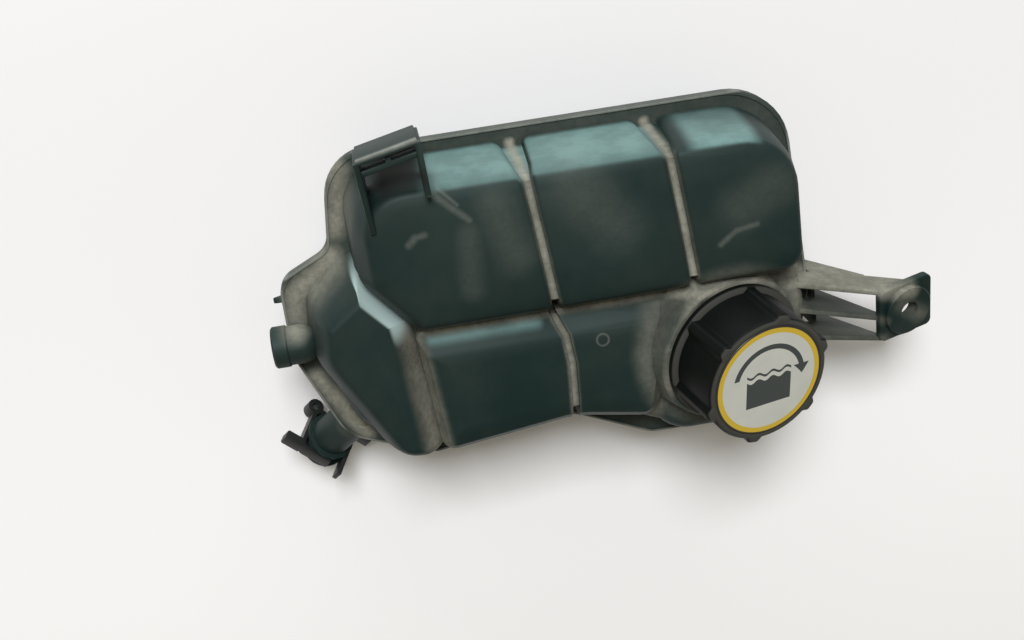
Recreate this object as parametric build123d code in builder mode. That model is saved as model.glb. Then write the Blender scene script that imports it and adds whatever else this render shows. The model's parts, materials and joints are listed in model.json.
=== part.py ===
from build123d import *
import math
import os

os.makedirs("parts", exist_ok=True)

# Coolant expansion tank: two moulded shells welded along a flange, with a screw cap that holds the valves.
# Plan places are measured in the weld plane: x along the tank, y across it, heights from the weld upwards.
# The origin of the part is the middle of the bolt hole, on the face that the bolt head meets.
# Every outline lists its corners anticlockwise, each with its radius.

# Bolt hole, seen from the tank's datum in the weld plane
bolt_x = 178.0
bolt_y = -18.5
bolt_height = 24.0
bolt_hole_radius = 4.5

# Shells
wall = 3.0
flange_width = 5.0
flange_thickness = 3.0
lip_width = 1.2
lip_height = 0.8
groove_width = 4.0
groove_depth = 5.5
groove_flare = 5.0
flare_length = 11.0

# Heights of the upper shell's blocks above the weld, and the depth of the lower shell
upper_row_height = 50.0
lower_row_height = 41.0
leaf_height = 40.0
shelf_height = 26.0
valley_height = 24.0
pan_depth = 48.0
upright_draft = 3.0
leaf_draft = 10.0
shelf_draft = 6.0

# Bevels round the faces of the blocks: their width in plan and their height
upper_bevel = (8.0, 13.0)
lower_bevel = (5.0, 8.0)
leaf_bevel = (10.0, 12.0)
shelf_bevel = (4.0, 5.0)
pan_bevel = (9.0, 11.0)

# Plan of the tank's outer wall
tank_back = 85.0
tank_right = 129.0
tank_left = -67.0
shelf_right = 133.0
neck_front = -61.0
leaf_left = -98.0
leaf_front = -52.0
leaf_setback = 6.0
waist_front = -43.0
wall_outline = [
    ((-71.0, 42.0), 6.0),
    ((-93.0, 39.0), 13.0),
    ((leaf_left, 8.0), 24.0),
    ((-79.0, -38.0), 26.0),
    ((-43.0, leaf_front), 12.0),
    ((20.0, waist_front), 22.0),
    ((59.0, neck_front), 20.0),
    ((118.0, neck_front), 32.0),
    ((shelf_right, -8.0), 26.0),
    ((tank_right, tank_back), 29.0),
    ((tank_left, tank_back), 27.0),
]

# Plans of the raised blocks: an upper row of three, a lower row of two, a leaf at the left, the neck's shelf
upper_row_front = 12.0
upper_row_outline = [
    ((tank_left, 40.0), 16.0),
    ((-44.0, upper_row_front), 10.0),
    ((tank_right, upper_row_front), 14.0),
    ((tank_right, tank_back), 29.0),
    ((tank_left, tank_back), 27.0),
]
lower_row_back = 15.5
lower_row_outline = [
    ((-47.0, lower_row_back), 6.0),
    ((-42.0, -46.0), 8.0),
    ((20.0, -39.0), 30.0),
    ((58.0, -46.0), 10.0),
    ((66.0, -10.0), 40.0),
    ((84.0, lower_row_back), 8.0),
]
leaf_outline = [
    ((-86.0, 45.0), 14.0),
    ((leaf_left + leaf_setback, 4.0), 26.0),
    ((-64.0, leaf_front + 2.0), 24.0),
    ((-32.0, leaf_front), 12.0),
    ((-39.0, 17.0), 8.0),
    ((-74.0, 52.0), 8.0),
]
shelf_outline = [
    ((58.0, 24.0), 4.0),
    ((52.0, neck_front), 20.0),
    ((118.0, neck_front), 32.0),
    ((shelf_right, -8.0), 26.0),
    ((tank_right, 24.0), 4.0),
]

# Grooves between the blocks: the middle line of each, from the back to the front
groove_back = tank_back + 5.0
groove_front = -5.0
upper_row_grooves = [
    [(9.3, groove_back), (19.3, groove_front)],
    [(69.3, groove_back), (79.3, groove_front)],
]
pan_grooves = [
    [(9.3, groove_back), (25.2, neck_front)],
    [(69.3, groove_back), (85.2, neck_front)],
]
lower_row_grooves = [[(12.0, 22.0), (19.0, 4.0), (20.8, -10.0), (19.0, -50.0)]]

# Filler neck: it leans from the weld plane's normal, and the bolt hole leans with it
neck_x = 87.9
neck_y = -14.2
lean = 20.0
lean_turn = -34.0
boss_margin = 1.8
boss_height = 12.5
boss_draft = 10.0
boss_room_depth = 24.0
neck_bore = 20.0
neck_wall = 4.2

# Bolt bracket: a plate with a raised pad, carried by three webs from the shelf's wall
bracket_wall = 2.2
plate_length = 28.0
plate_width = 27.0
plate_turn = 6.0
plate_thickness = 4.0
plate_corner = 3.0
pad_radius = 12.0
pad_height = 2.5
web_root_x = 120.0
web_tip_x = 166.0
web_sink = 1.0
web_foot_depth = 22.0

# Each web's place at its root and its tip, its depth at the plate, and its run on under the plate
webs = [(4.5, -8.0, 26.0, 20.0), (-7.5, -21.0, 6.0, 0.0), (-21.0, -31.5, 4.0, 14.0)]

# Hose holder: three plates that stand off the back wall
holder_wall = 2.5
holder_foot = 30.0
holder_top = 58.0
holder_corners = [(-54.3, 64.0), (-56.5, 96.0), (-31.0, 101.3), (-30.0, 78.0)]
bar_offset = 5.5
bar_drop = 3.0
bar_depth = 8.0

# Inlet spigot at the left end
inlet_y = 10.5
inlet_height = 14.0
inlet_radius = 8.7
inlet_bead_radius = 9.3
inlet_bead_length = 7.0
inlet_bore = 5.5
inlet_root_x = -86.0
inlet_tip_x = -107.0

# Outlet spigot at the left front corner, and the clip round it
outlet_place = (-82.5, -41.0, -13.0)
outlet_axis = (-0.55, -0.6, -0.58)
outlet_radius = 9.6
outlet_bore = 5.5
outlet_socket = 7.2
outlet_socket_depth = 22.0
outlet_length = 31.0
outlet_root = 20.0
collar_radius = 11.6
collar_thickness = 2.0
clip_setback = 11.0
clip_height = 6.0
clip_inside = 20.0
clip_wall = 2.0
clip_gap = 5.0
clip_clearance = 0.3
eye_radius = 4.0
eye_hole = 1.8
tab_length = 6.0
tab_thickness = 4.5

# Hook by the left end of the flange
hook_y = 26.0
hook_reach = 5.5
hook_depth = 15.0
hook_thickness = 3.0
hook_tip = 2.0

# Cap
cap_gap = 0.6
cover_radius = 31.5
cover_height = 29.0
cover_top = 4.0
thread_room = 2.2
cover_edge = 1.6
rim_width = 0.7
rim_height = 3.2
ridge_count = 6
ridge_turn = 18.0
ridge_depth = 2.2
ridge_base = 8.0
ridge_tip = 3.2
label_radius = 26.0
label_thickness = 0.4
label_clearance = 0.2
bead_grip = 0.7
bead_height = 0.8

# Cap insert, its seals and its valves
slip = 0.3
insert_play = 0.8
insert_flange_thickness = 3.2
plug_length = 17.3
plug_bore = 14.0
plug_floor = 2.5
seat_radius = 8.5
seal_section = 1.2
seal_fit = 0.05
seal_offsets = {"upper_o_ring": 4.0, "lower_o_ring": 10.0}
valve_radius = 12.5
valve_thickness = 2.0
pressure_seal_thickness = 1.5
pressure_seal_hole = 5.5
spring_seat_thickness = 2.0
spring_seat_hole = 4.5
spring_radius = 9.5
spring_wire = 0.9
wire_sides = 8
spring_turns = 3.5
vacuum_head_radius = 4.8
vacuum_head_thickness = 1.6
vacuum_stem_radius = 1.6
vacuum_stem_hole = 2.2
vacuum_stem_length = 6.0
vacuum_button_radius = 3.4
vacuum_button_thickness = 1.2
vacuum_spring_radius = 2.7
vacuum_spring_wire = 0.4
vacuum_spring_turns = 3.5

# Sizes that follow: the cover turns round the neck, and the insert's flange lies between the two
neck_radius = neck_bore + neck_wall
cover_bore = neck_radius + thread_room
insert_flange_radius = cover_bore - insert_play
bead_radius = insert_flange_radius - bead_grip
rim_radius = cover_radius + rim_width
skirt_radius = cover_radius - ridge_depth
clip_offset = outlet_length - clip_setback
boss_radius = rim_radius + boss_margin
cover_foot = boss_height + cap_gap
cover_face = cover_foot + cover_height
cover_ceiling = cover_face - cover_top
neck_length = cover_ceiling - insert_flange_thickness - 2 * slip

# Planes: the tank's datum, and the leaning planes of the neck, the bolt and the outlet
tank = Plane((-bolt_x, -bolt_y, -bolt_height))
upright = Vector(0, 0, 1).rotate(Axis.Y, lean).rotate(Axis.Z, lean_turn)
along = Vector(0, 1, 0).cross(upright).normalized()
neck = Plane(tank.from_local_coords((neck_x, neck_y, shelf_height)), x_dir=along, z_dir=upright)
bolt = Plane((0, 0, 0), x_dir=along, z_dir=upright)
outlet_dir = Vector(*outlet_axis).normalized()
outlet_across = Vector(0, 0, 1).cross(outlet_dir).normalized()
outlet = Plane(tank.from_local_coords(outlet_place), x_dir=outlet_across, z_dir=outlet_dir)
inlet_mouth = tank.from_local_coords((inlet_tip_x, inlet_y, inlet_height))
inlet = Plane(inlet_mouth, x_dir=(0, 1, 0), z_dir=(1, 0, 0))


def outline(corners, inset=0.0):
    """Draws a closed outline with rounded corners, drawn in by the inset."""
    with BuildLine() as edge:
        FilletPolyline(*[place for place, _ in corners], radius=[r for _, r in corners], close=True)
    make_face(edge.edges())
    if inset:
        offset(amount=-inset, kind=Kind.INTERSECTION)


def raised(corners, inset, height, draft, bevel, side=1):
    """Raises an outline from the weld, up or down: a drafted wall, then a bevel to the face."""
    bevel_width, bevel_height = bevel
    with BuildPart() as block:
        with BuildSketch(tank):
            outline(corners, inset)
        extrude(amount=side * (height - bevel_height), taper=draft)
        face = block.faces().sort_by(Axis.Z)[-1 if side > 0 else 0]
        extrude(face, amount=bevel_height, taper=math.degrees(math.atan2(bevel_width, bevel_height)))
    return block.part


def groove_plan(line, width, flare):
    """Draws a groove along its middle line. A flare widens its back end."""
    with BuildLine() as middle:
        Polyline(*line)
    trace(middle.edges(), line_width=width)
    if flare:
        start = Vector(*line[0])
        run = (Vector(*line[1]) - start).normalized()
        aside = run.rotate(Axis.Z, 90)
        reach = start + run * (groove_back - tank_back + flare_length)
        with BuildLine() as mouth:
            Polyline(
                start - aside * (width / 2 + flare),
                start + aside * (width / 2 + flare),
                reach + aside * width / 2,
                reach - aside * width / 2,
                close=True,
            )
        make_face(mouth.edges())


def grooved(corners, grooves, flare, inset, height, draft, bevel, side=1):
    """Raises an outline and parts it by grooves, which leave a lower core between the blocks."""
    body = raised(corners, inset, height, draft, bevel, side)
    core = raised(corners, inset + groove_depth, height - groove_depth, draft, bevel, side)
    with BuildPart() as blocks:
        add(body)
        with BuildSketch(tank):
            for line in grooves:
                groove_plan(line, groove_width + 2 * inset, flare)
        extrude(amount=side * height, mode=Mode.SUBTRACT)
        add(core)
    return blocks.part


def upper_forms(inset):
    """The upper shell's blocks, whole for its outside and drawn in by the wall for its inside."""
    upper_row = upper_row_height - inset
    lower_row = lower_row_height - inset
    return [
        raised(wall_outline, inset + groove_depth, valley_height - inset, shelf_draft, shelf_bevel),
        raised(shelf_outline, inset, shelf_height - inset, shelf_draft, shelf_bevel),
        raised(leaf_outline, inset, leaf_height - inset, leaf_draft, leaf_bevel),
        grooved(lower_row_outline, lower_row_grooves, 0.0, inset, lower_row, upright_draft, lower_bevel),
        grooved(upper_row_outline, upper_row_grooves, groove_flare, inset, upper_row, upright_draft, upper_bevel),
    ]


def pan_form(inset):
    """The lower shell's pan, whole or drawn in by the wall."""
    depth = pan_depth - inset
    return grooved(wall_outline, pan_grooves, 0.0, inset, depth, upright_draft, pan_bevel, side=-1)


def rib(start, end, profile, thickness):
    """Adds a flat rib that stands on a line in plan. Its profile runs along the line and upwards."""
    run = Vector(*end) - Vector(*start)
    face = Plane(tank.from_local_coords((*start, 0)), x_dir=run, z_dir=run.cross(Vector(0, 0, 1)))
    with BuildSketch(face) as side:
        with BuildLine() as edge:
            Polyline(*profile, close=True)
        make_face(edge.edges())
    extrude(side.sketch, amount=thickness / 2, both=True)


def standing_plate(start, end, foot, start_top, end_top):
    """Adds one plate of the hose holder, between two places in plan."""
    length = (end - start).length
    profile = [(0, foot), (length, foot), (length, end_top), (0, start_top)]
    rib((start.X, start.Y), (end.X, end.Y), profile, holder_wall)


def flange_ring(side):
    """Adds the weld flange, which runs in under the walls."""
    with BuildSketch(tank) as ring:
        outline(wall_outline, -flange_width)
        with BuildSketch(tank, mode=Mode.PRIVATE) as hole:
            outline(wall_outline, groove_depth + wall / 2)
        add(hole.sketch, mode=Mode.SUBTRACT)
    extrude(ring.sketch, amount=side * flange_thickness)


def plate_underside(x, y):
    """Height of the bracket plate's middle above the weld, under a place in plan."""
    drop = pad_height + plate_thickness / 2
    slope_x = upright.X / upright.Z
    slope_y = upright.Y / upright.Z
    return bolt_height - drop / upright.Z - slope_x * (x - bolt_x) - slope_y * (y - bolt_y)


# Upper shell
outside = upper_forms(0.0)
inside = upper_forms(wall)
with BuildPart() as upper_shell:
    for form in outside:
        add(form)
    # Boss under the neck
    with BuildSketch(neck.offset(boss_height)):
        Circle(boss_radius)
    extrude(amount=-boss_height - wall, taper=-boss_draft)
    # Webs of the bolt bracket, which reach down past the flange, and the plate that ties their feet
    foot_x = shelf_right + flange_width + web_sink
    foot_share = (foot_x - web_root_x) / (web_tip_x - web_root_x)
    foot_ys = [root_y + (tip_y - root_y) * foot_share for root_y, tip_y, _, _ in webs]
    foot_width = foot_ys[0] - foot_ys[-1]
    foot_plate = [
        (0, -web_foot_depth),
        (foot_width, -web_foot_depth),
        (foot_width, flange_thickness),
        (0, flange_thickness),
    ]
    foot_middle = foot_x + bracket_wall / 2
    rib((foot_middle, foot_ys[0]), (foot_middle, foot_ys[-1]), foot_plate, bracket_wall)
    for root_y, tip_y, tip_depth, run_on in webs:
        root = (web_root_x, root_y)
        tip = (web_tip_x, tip_y)
        end = (web_tip_x + run_on, tip_y)
        length = math.dist(root, tip)
        tip_height = plate_underside(*tip)
        foot = length * foot_share
        web = [
            (0, flange_thickness),
            (foot, flange_thickness),
            (foot, -web_foot_depth),
            (length, tip_height - tip_depth),
            (length, tip_height),
            (0, shelf_height - web_sink),
        ]
        rib(root, tip, web, bracket_wall)
        if run_on:
            gusset = [(0, tip_height - tip_depth), (run_on, plate_underside(*end)), (0, tip_height)]
            rib(tip, end, gusset, bracket_wall)
    # Plate and pad of the bracket
    with BuildSketch(bolt.offset(-pad_height - plate_thickness)):
        RectangleRounded(plate_length, plate_width, plate_corner, rotation=plate_turn)
    extrude(amount=plate_thickness)
    with BuildSketch(bolt.offset(-pad_height)):
        Circle(pad_radius)
    extrude(amount=pad_height)
    # Hose holder, with a bar across it that leaves a slot and is tied to the back plate
    left_end, left_corner, right_corner, right_end = [Vector(*corner) for corner in holder_corners]
    bar_left = left_corner + (left_end - left_corner).normalized() * bar_offset
    bar_right = right_corner + (right_end - right_corner).normalized() * bar_offset
    back_middle = (left_corner + right_corner) / 2
    bar_middle = (bar_left + bar_right) / 2
    bar_top = holder_top - bar_drop
    bar_foot = bar_top - bar_depth
    standing_plate(left_end, left_corner, holder_foot, upper_row_height, holder_top)
    standing_plate(left_corner, right_corner, holder_foot, holder_top, holder_top)
    standing_plate(right_corner, right_end, holder_foot, holder_top, holder_top)
    standing_plate(bar_left, bar_right, bar_foot, bar_top, bar_top)
    standing_plate(back_middle, bar_middle, bar_foot, bar_top, bar_top)
    # Inlet spigot with its bead, and the rounded end where it meets the wall
    with BuildSketch(inlet):
        Circle(inlet_radius)
    extrude(amount=inlet_root_x - inlet_tip_x - inlet_radius)
    with BuildSketch(inlet):
        Circle(inlet_bead_radius)
    extrude(amount=inlet_bead_length)
    with Locations(tank.from_local_coords((inlet_root_x - inlet_radius, inlet_y, inlet_height))):
        Sphere(inlet_radius)
    # Weld flange, with a lip along its edge
    flange_ring(1)
    with BuildSketch(tank) as lip:
        outline(wall_outline, -flange_width)
        with BuildSketch(tank, mode=Mode.PRIVATE) as hole:
            outline(wall_outline, lip_width - flange_width)
        add(hole.sketch, mode=Mode.SUBTRACT)
    extrude(lip.sketch, amount=flange_thickness + lip_height)
    # Hollow inside
    for form in inside:
        add(form, mode=Mode.SUBTRACT)
    with BuildSketch(neck.offset(boss_height - wall)):
        Circle(boss_radius - wall)
    extrude(amount=-boss_room_depth, mode=Mode.SUBTRACT)
    # Neck and bores
    with BuildSketch(neck.offset(boss_height - wall)):
        Circle(neck_radius)
    extrude(amount=neck_length - boss_height + wall)
    with BuildSketch(neck):
        Circle(neck_bore)
    extrude(amount=neck_length, mode=Mode.SUBTRACT)
    with BuildSketch(inlet):
        Circle(inlet_bore)
    extrude(amount=inlet_root_x - inlet_tip_x, mode=Mode.SUBTRACT)
    with BuildSketch(bolt):
        Circle(bolt_hole_radius)
    extrude(amount=-pad_height - plate_thickness, mode=Mode.SUBTRACT)

upper_shell.part.label = "upper_shell"
export_step(upper_shell.part, "parts/upper_shell.step")

# Lower shell
pan_outside = pan_form(0.0)
pan_inside = pan_form(wall)
with BuildPart() as lower_shell:
    add(pan_outside)
    with BuildSketch(outlet.offset(-outlet_root)):
        Circle(outlet_radius)
    extrude(amount=outlet_root + outlet_length)
    near_collar = clip_offset - clip_clearance - collar_thickness
    far_collar = clip_offset + clip_height + clip_clearance
    for place in (near_collar, far_collar):
        with BuildSketch(outlet.offset(place)):
            Circle(collar_radius)
        extrude(amount=collar_thickness)
    hook_start = leaf_left + flange_width + wall
    hook_end = leaf_left - flange_width - hook_reach
    hook = [(0, -flange_thickness), (hook_start - hook_end, -flange_thickness - hook_tip), (0, -hook_depth)]
    rib((hook_start, hook_y), (hook_end, hook_y), hook, hook_thickness)
    flange_ring(-1)
    add(pan_inside, mode=Mode.SUBTRACT)
    with BuildSketch(outlet.offset(-outlet_root)):
        Circle(outlet_bore)
    extrude(amount=outlet_root + outlet_length, mode=Mode.SUBTRACT)
    with BuildSketch(outlet.offset(outlet_length)):
        Circle(outlet_socket)
    extrude(amount=-outlet_socket_depth, mode=Mode.SUBTRACT)
    split(bisect_by=tank, keep=Keep.BOTTOM)

lower_shell.part.label = "lower_shell"
export_step(lower_shell.part, "parts/lower_shell.step")

# Clip round the outlet: an open square with an eye, a thumb tab and two free ends
half_in = clip_inside / 2
half_out = half_in + clip_wall
with BuildPart() as outlet_clip:
    with BuildSketch(outlet.offset(clip_offset)):
        RectangleRounded(2 * half_out, 2 * half_out, 2 * clip_wall)
        RectangleRounded(2 * half_in, 2 * half_in, clip_wall, mode=Mode.SUBTRACT)
        with Locations((-half_out, -half_out)):
            Circle(eye_radius)
        with Locations((half_out + tab_length / 2, -half_in - clip_wall / 2)):
            Rectangle(tab_length + 2 * clip_wall, clip_wall)
        with Locations((-half_out - tab_length / 2, half_out - tab_thickness / 2)):
            RectangleRounded(tab_length + 2 * clip_wall, tab_thickness, clip_wall / 2)
        with Locations((half_out - clip_gap / 2 - clip_wall, half_out)):
            Rectangle(clip_gap, 4 * clip_wall, mode=Mode.SUBTRACT)
        with Locations((-half_out, -half_out)):
            Circle(eye_hole, mode=Mode.SUBTRACT)
        with Locations((half_in + clip_wall / 2, half_out)):
            Rectangle(clip_wall, tab_length)
    extrude(amount=clip_height)

outlet_clip.part.label = "outlet_clip"
export_step(outlet_clip.part, "parts/outlet_clip.step")

# Cap cover: a skirt with grip ridges, a rim at its foot and a recess for the label
with BuildPart() as cap_cover:
    with BuildSketch(neck.offset(cover_foot)):
        Circle(skirt_radius)
        with PolarLocations(skirt_radius, ridge_count, start_angle=ridge_turn):
            Polygon(
                (-ridge_depth / 2, -ridge_base / 2),
                (ridge_depth, -ridge_tip / 2),
                (ridge_depth, ridge_tip / 2),
                (-ridge_depth / 2, ridge_base / 2),
                align=None,
            )
    extrude(amount=cover_height)
    chamfer(cap_cover.faces().sort_by(Axis((0, 0, 0), upright))[-1].edges(), cover_edge)
    with BuildSketch(neck.offset(cover_foot)):
        Circle(rim_radius)
    extrude(amount=rim_height)
    with BuildSketch(neck.offset(cover_foot)):
        Circle(cover_bore)
    extrude(amount=cover_height - cover_top, mode=Mode.SUBTRACT)
    with BuildSketch(neck.offset(cover_face - label_thickness)):
        Circle(label_radius + label_clearance)
    extrude(amount=label_thickness, mode=Mode.SUBTRACT)
    # Bead that holds the insert's flange
    with BuildSketch(neck.offset(neck_length - bead_height)):
        Circle(cover_bore)
        Circle(bead_radius, mode=Mode.SUBTRACT)
    extrude(amount=bead_height)

cap_cover.part.label = "cap_cover"
export_step(cap_cover.part, "parts/cap_cover.step")

with BuildPart() as cap_label:
    with BuildSketch(neck.offset(cover_face - label_thickness)):
        Circle(label_radius)
    extrude(amount=label_thickness)

cap_label.part.label = "cap_label"
export_step(cap_label.part, "parts/cap_label.step")

# Cap insert: a flange under the cover's ceiling and a plug with two seal grooves and a valve seat
flange_foot = neck_length + slip
plug_foot = flange_foot - plug_length
floor_top = plug_foot + plug_floor
seal_reach = neck_bore - seal_fit
groove_floor = seal_reach - 2 * seal_section - seal_fit
with BuildPart() as cap_insert:
    with BuildSketch(neck.offset(flange_foot)):
        Circle(insert_flange_radius)
    extrude(amount=cover_ceiling - slip - flange_foot)
    with BuildSketch(neck.offset(plug_foot)):
        Circle(neck_bore - slip)
    extrude(amount=plug_length)
    for drop in seal_offsets.values():
        with BuildSketch(neck.offset(flange_foot - drop - seal_section - seal_fit)):
            Circle(neck_bore)
            Circle(groove_floor, mode=Mode.SUBTRACT)
        extrude(amount=2 * (seal_section + seal_fit), mode=Mode.SUBTRACT)
    with BuildSketch(neck.offset(floor_top)):
        Circle(plug_bore)
    extrude(amount=cover_ceiling - floor_top, mode=Mode.SUBTRACT)
    with BuildSketch(neck.offset(plug_foot)):
        Circle(seat_radius)
    extrude(amount=plug_floor, mode=Mode.SUBTRACT)

cap_insert.part.label = "cap_insert"
export_step(cap_insert.part, "parts/cap_insert.step")

# Seals in the insert's grooves
for name, drop in seal_offsets.items():
    with BuildPart(neck.offset(flange_foot - drop)) as seal_ring:
        Torus(seal_reach - seal_section, seal_section)
    seal_ring.part.label = name
    export_step(seal_ring.part, f"parts/{name}.step")

# Relief valve: a rubber seal under a plate, a spring above it, and the spring's seat
valve_foot = floor_top + pressure_seal_thickness
valve_top = valve_foot + valve_thickness
with BuildPart() as pressure_seal:
    with BuildSketch(neck.offset(floor_top)):
        Circle(valve_radius)
        Circle(pressure_seal_hole, mode=Mode.SUBTRACT)
    extrude(amount=pressure_seal_thickness)

pressure_seal.part.label = "pressure_seal"
export_step(pressure_seal.part, "parts/pressure_seal.step")

with BuildPart() as pressure_valve:
    with BuildSketch(neck.offset(valve_foot)):
        Circle(valve_radius)
        Circle(vacuum_stem_hole, mode=Mode.SUBTRACT)
    extrude(amount=valve_thickness)

pressure_valve.part.label = "pressure_valve"
export_step(pressure_valve.part, "parts/pressure_valve.step")

spring_seat_foot = cover_ceiling - slip - spring_seat_thickness
with BuildPart() as spring_seat:
    with BuildSketch(neck.offset(spring_seat_foot)):
        Circle(plug_bore - slip)
        Circle(spring_seat_hole, mode=Mode.SUBTRACT)
    extrude(amount=spring_seat_thickness)

spring_seat.part.label = "spring_seat"
export_step(spring_seat.part, "parts/spring_seat.step")

# Vacuum valve: a head under the plate, a stem through it and a button over its own spring
stem_top = valve_top + vacuum_stem_length
with BuildPart() as vacuum_valve:
    with BuildSketch(neck.offset(valve_foot - vacuum_head_thickness)):
        Circle(vacuum_head_radius)
    extrude(amount=vacuum_head_thickness)
    with BuildSketch(neck.offset(valve_foot)):
        Circle(vacuum_stem_radius)
    extrude(amount=stem_top - valve_foot)
    with BuildSketch(neck.offset(stem_top)):
        Circle(vacuum_button_radius)
    extrude(amount=vacuum_button_thickness)

vacuum_valve.part.label = "vacuum_valve"
export_step(vacuum_valve.part, "parts/vacuum_valve.step")


def coil(name, foot, head, radius, wire, turns):
    """Winds a spring between two faces, its wire just clear of both."""
    rise = head - foot - 2 * wire - 2 * seal_fit
    with BuildPart() as spring:
        with BuildLine(neck.offset(foot + wire + seal_fit)) as line:
            Helix(pitch=rise / turns, height=rise, radius=radius, direction=upright)
        with BuildSketch(Plane(line.line @ 0, z_dir=line.line % 0)) as section:
            RegularPolygon(wire, wire_sides)
        sweep(section.sketch, path=line.line, is_frenet=True)
    spring.part.label = name
    export_step(spring.part, f"parts/{name}.step")


coil("pressure_spring", valve_top, spring_seat_foot, spring_radius, spring_wire, spring_turns)
coil("vacuum_spring", valve_top, stem_top, vacuum_spring_radius, vacuum_spring_wire, vacuum_spring_turns)
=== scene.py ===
"""Coolant expansion tank: its moulded shells, screw cap and finishes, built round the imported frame."""

import json
import math

import bmesh
import bpy
from mathutils import Matrix, Vector


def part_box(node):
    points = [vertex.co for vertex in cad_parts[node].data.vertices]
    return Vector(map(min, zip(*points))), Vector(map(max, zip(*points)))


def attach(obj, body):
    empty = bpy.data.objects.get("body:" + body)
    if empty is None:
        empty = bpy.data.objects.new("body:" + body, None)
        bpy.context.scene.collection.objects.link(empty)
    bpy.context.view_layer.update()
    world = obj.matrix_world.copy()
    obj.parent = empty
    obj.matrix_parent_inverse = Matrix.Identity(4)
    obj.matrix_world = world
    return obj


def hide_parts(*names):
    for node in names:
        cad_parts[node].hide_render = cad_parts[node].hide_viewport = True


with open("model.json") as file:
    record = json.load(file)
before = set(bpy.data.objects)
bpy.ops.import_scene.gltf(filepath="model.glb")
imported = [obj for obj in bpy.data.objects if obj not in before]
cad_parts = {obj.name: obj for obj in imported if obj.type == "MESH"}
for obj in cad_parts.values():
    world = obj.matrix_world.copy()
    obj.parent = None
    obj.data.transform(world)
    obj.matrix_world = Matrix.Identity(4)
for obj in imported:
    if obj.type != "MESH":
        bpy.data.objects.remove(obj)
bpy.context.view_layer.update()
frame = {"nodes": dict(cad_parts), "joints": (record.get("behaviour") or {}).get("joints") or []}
nodes = frame["nodes"]

MM = 0.001

# Datum: a point of the weld plane. Plan places and heights below are millimetres from it.
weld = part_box("lower_shell")[1].z
datum = Vector((-178.0 * MM, 18.5 * MM, weld))

# The neck and the bolt lean together, along the axis on which the cap turns.
# The bolt's seat is the row's origin.
cap_turn = next(joint for joint in frame["joints"] if joint["name"] == "cap_turn")
upright = Vector(cap_turn["axis"]).normalized()
along = Vector((0, 1, 0)).cross(upright).normalized()
across = upright.cross(along)
lean = Matrix((along, across, upright)).transposed().to_4x4()
neck = Matrix.Translation(cap_turn["pos_m"]) @ lean
bolt = lean

# Walls of the shells
wall = 3.0
flange_width = 5.0
flange_thickness = 3.0
lip_width = 1.2
lip_height = 0.8
groove_width = 3.2
groove_depth = 3.2
valley_setback = 5.5
pan_groove_depth = 5.5
groove_flare = 6.5

# Heights above the weld
upper_row_height = 50.0
lower_row_height = 41.0
leaf_height = 40.0
shelf_height = 26.0
valley_height = 24.0
pan_depth = 48.0

# Plans: each corner with its radius, anticlockwise
wall_plan = [
    ((-72, 44.4), 5), ((-95.4, 33.6), 16), ((-95.5, 2), 24), ((-79, -38), 26),
    ((-43, -52), 12), ((20, -43), 22), ((59, -61), 20), ((118, -61), 32),
    ((133, -8), 26), ((127.5, 85), 33), ((-67, 85), 27),
]
upper_row_plan = [((-67, 40), 16), ((-44, 12), 10), ((129, 12), 14), ((129, 85), 29), ((-67, 85), 27)]
lower_row_plan = [
    ((-46.5, 15.5), 6), ((-41.5, -46), 8), ((20, -39), 30),
    ((58, -46), 10), ((66, -10), 40), ((84, 15.5), 8),
]
leaf_plan = [
    ((-90, 31), 14), ((-93, 4), 26), ((-64, -50), 24),
    ((-33, -52), 12), ((-40.5, 19), 8), ((-66, 48), 8),
]
shelf_plan = [((58, 24), 4), ((52, -61), 20), ((118, -61), 32), ((133, -8), 26), ((129, 24), 4)]

# Bevels: the height of each block's bevel, and its width along each side of the plan
upper_row_bevel = (13.0, [5.0, 5.0, 2.3, 3.0, 6.0])
lower_row_bevel = (8.0, [3.0, 4.0, 4.0, 4.5, 4.5, 8.0])
leaf_bevel = (14.0, [5.0, 6.0, 5.0, 8.0, 4.0, 7.0])
shelf_bevel = (5.0, [4.0] * len(shelf_plan))
valley_bevel = (5.0, [4.0] * len(wall_plan))
pan_bevel = (11.0, [9.0] * len(wall_plan))
flange_bevel = (0.5, [0.4] * len(wall_plan))
lip_room_bevel = (1.0, [0.1] * len(wall_plan))
lip_room_height = 9.0
upright_draft = math.tan(math.radians(3.0))
upper_row_draft = math.tan(math.radians(5.0))
leaf_draft = math.tan(math.radians(10.0))
shelf_draft = math.tan(math.radians(6.0))

# Finish of the blocks: crowned faces, rounded edges and the steps of their curves
face_crown = 1.6
lower_row_crown_reach = 8.0
upper_row_crown_reach = 15.0
edge_reach = 3.0
row_edge_radius = 2.4
row_edge_angle = 35.0
shoulder_shares = (0.3, 0.48)
edge_shares = (0.48, 1.0)
curve_steps = 6
corner_step = math.radians(9.0)
least_corner_radius = 0.6
most_corner_share = 0.48
smooth_angle = math.radians(38.0)
overlap = 1.0

# Grooves between the blocks: the middle line of each, from the back to the front
upper_grooves = [
    [(9.6, 88.0), (10.7, 76.0), (13.5, 50.0), (17.6, 6.0)],
    [(69.6, 88.0), (70.7, 76.0), (73.5, 50.0), (77.6, 6.0)],
]
lower_groove = [(14.0, 24.0), (15.5, 13.0), (19.5, 3.0), (20.8, -10.0), (20.0, -30.0), (19.0, -52.0)]

# Bolt bracket: a plate and a pad on three webs
web_wall = 2.2
web_root_x = 120.0
web_tip_x = 166.0
web_foot_x = 139.0
web_foot_depth = 22.0
foot_plate_heights = (-web_foot_depth + 0.2, 2.8)

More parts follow.
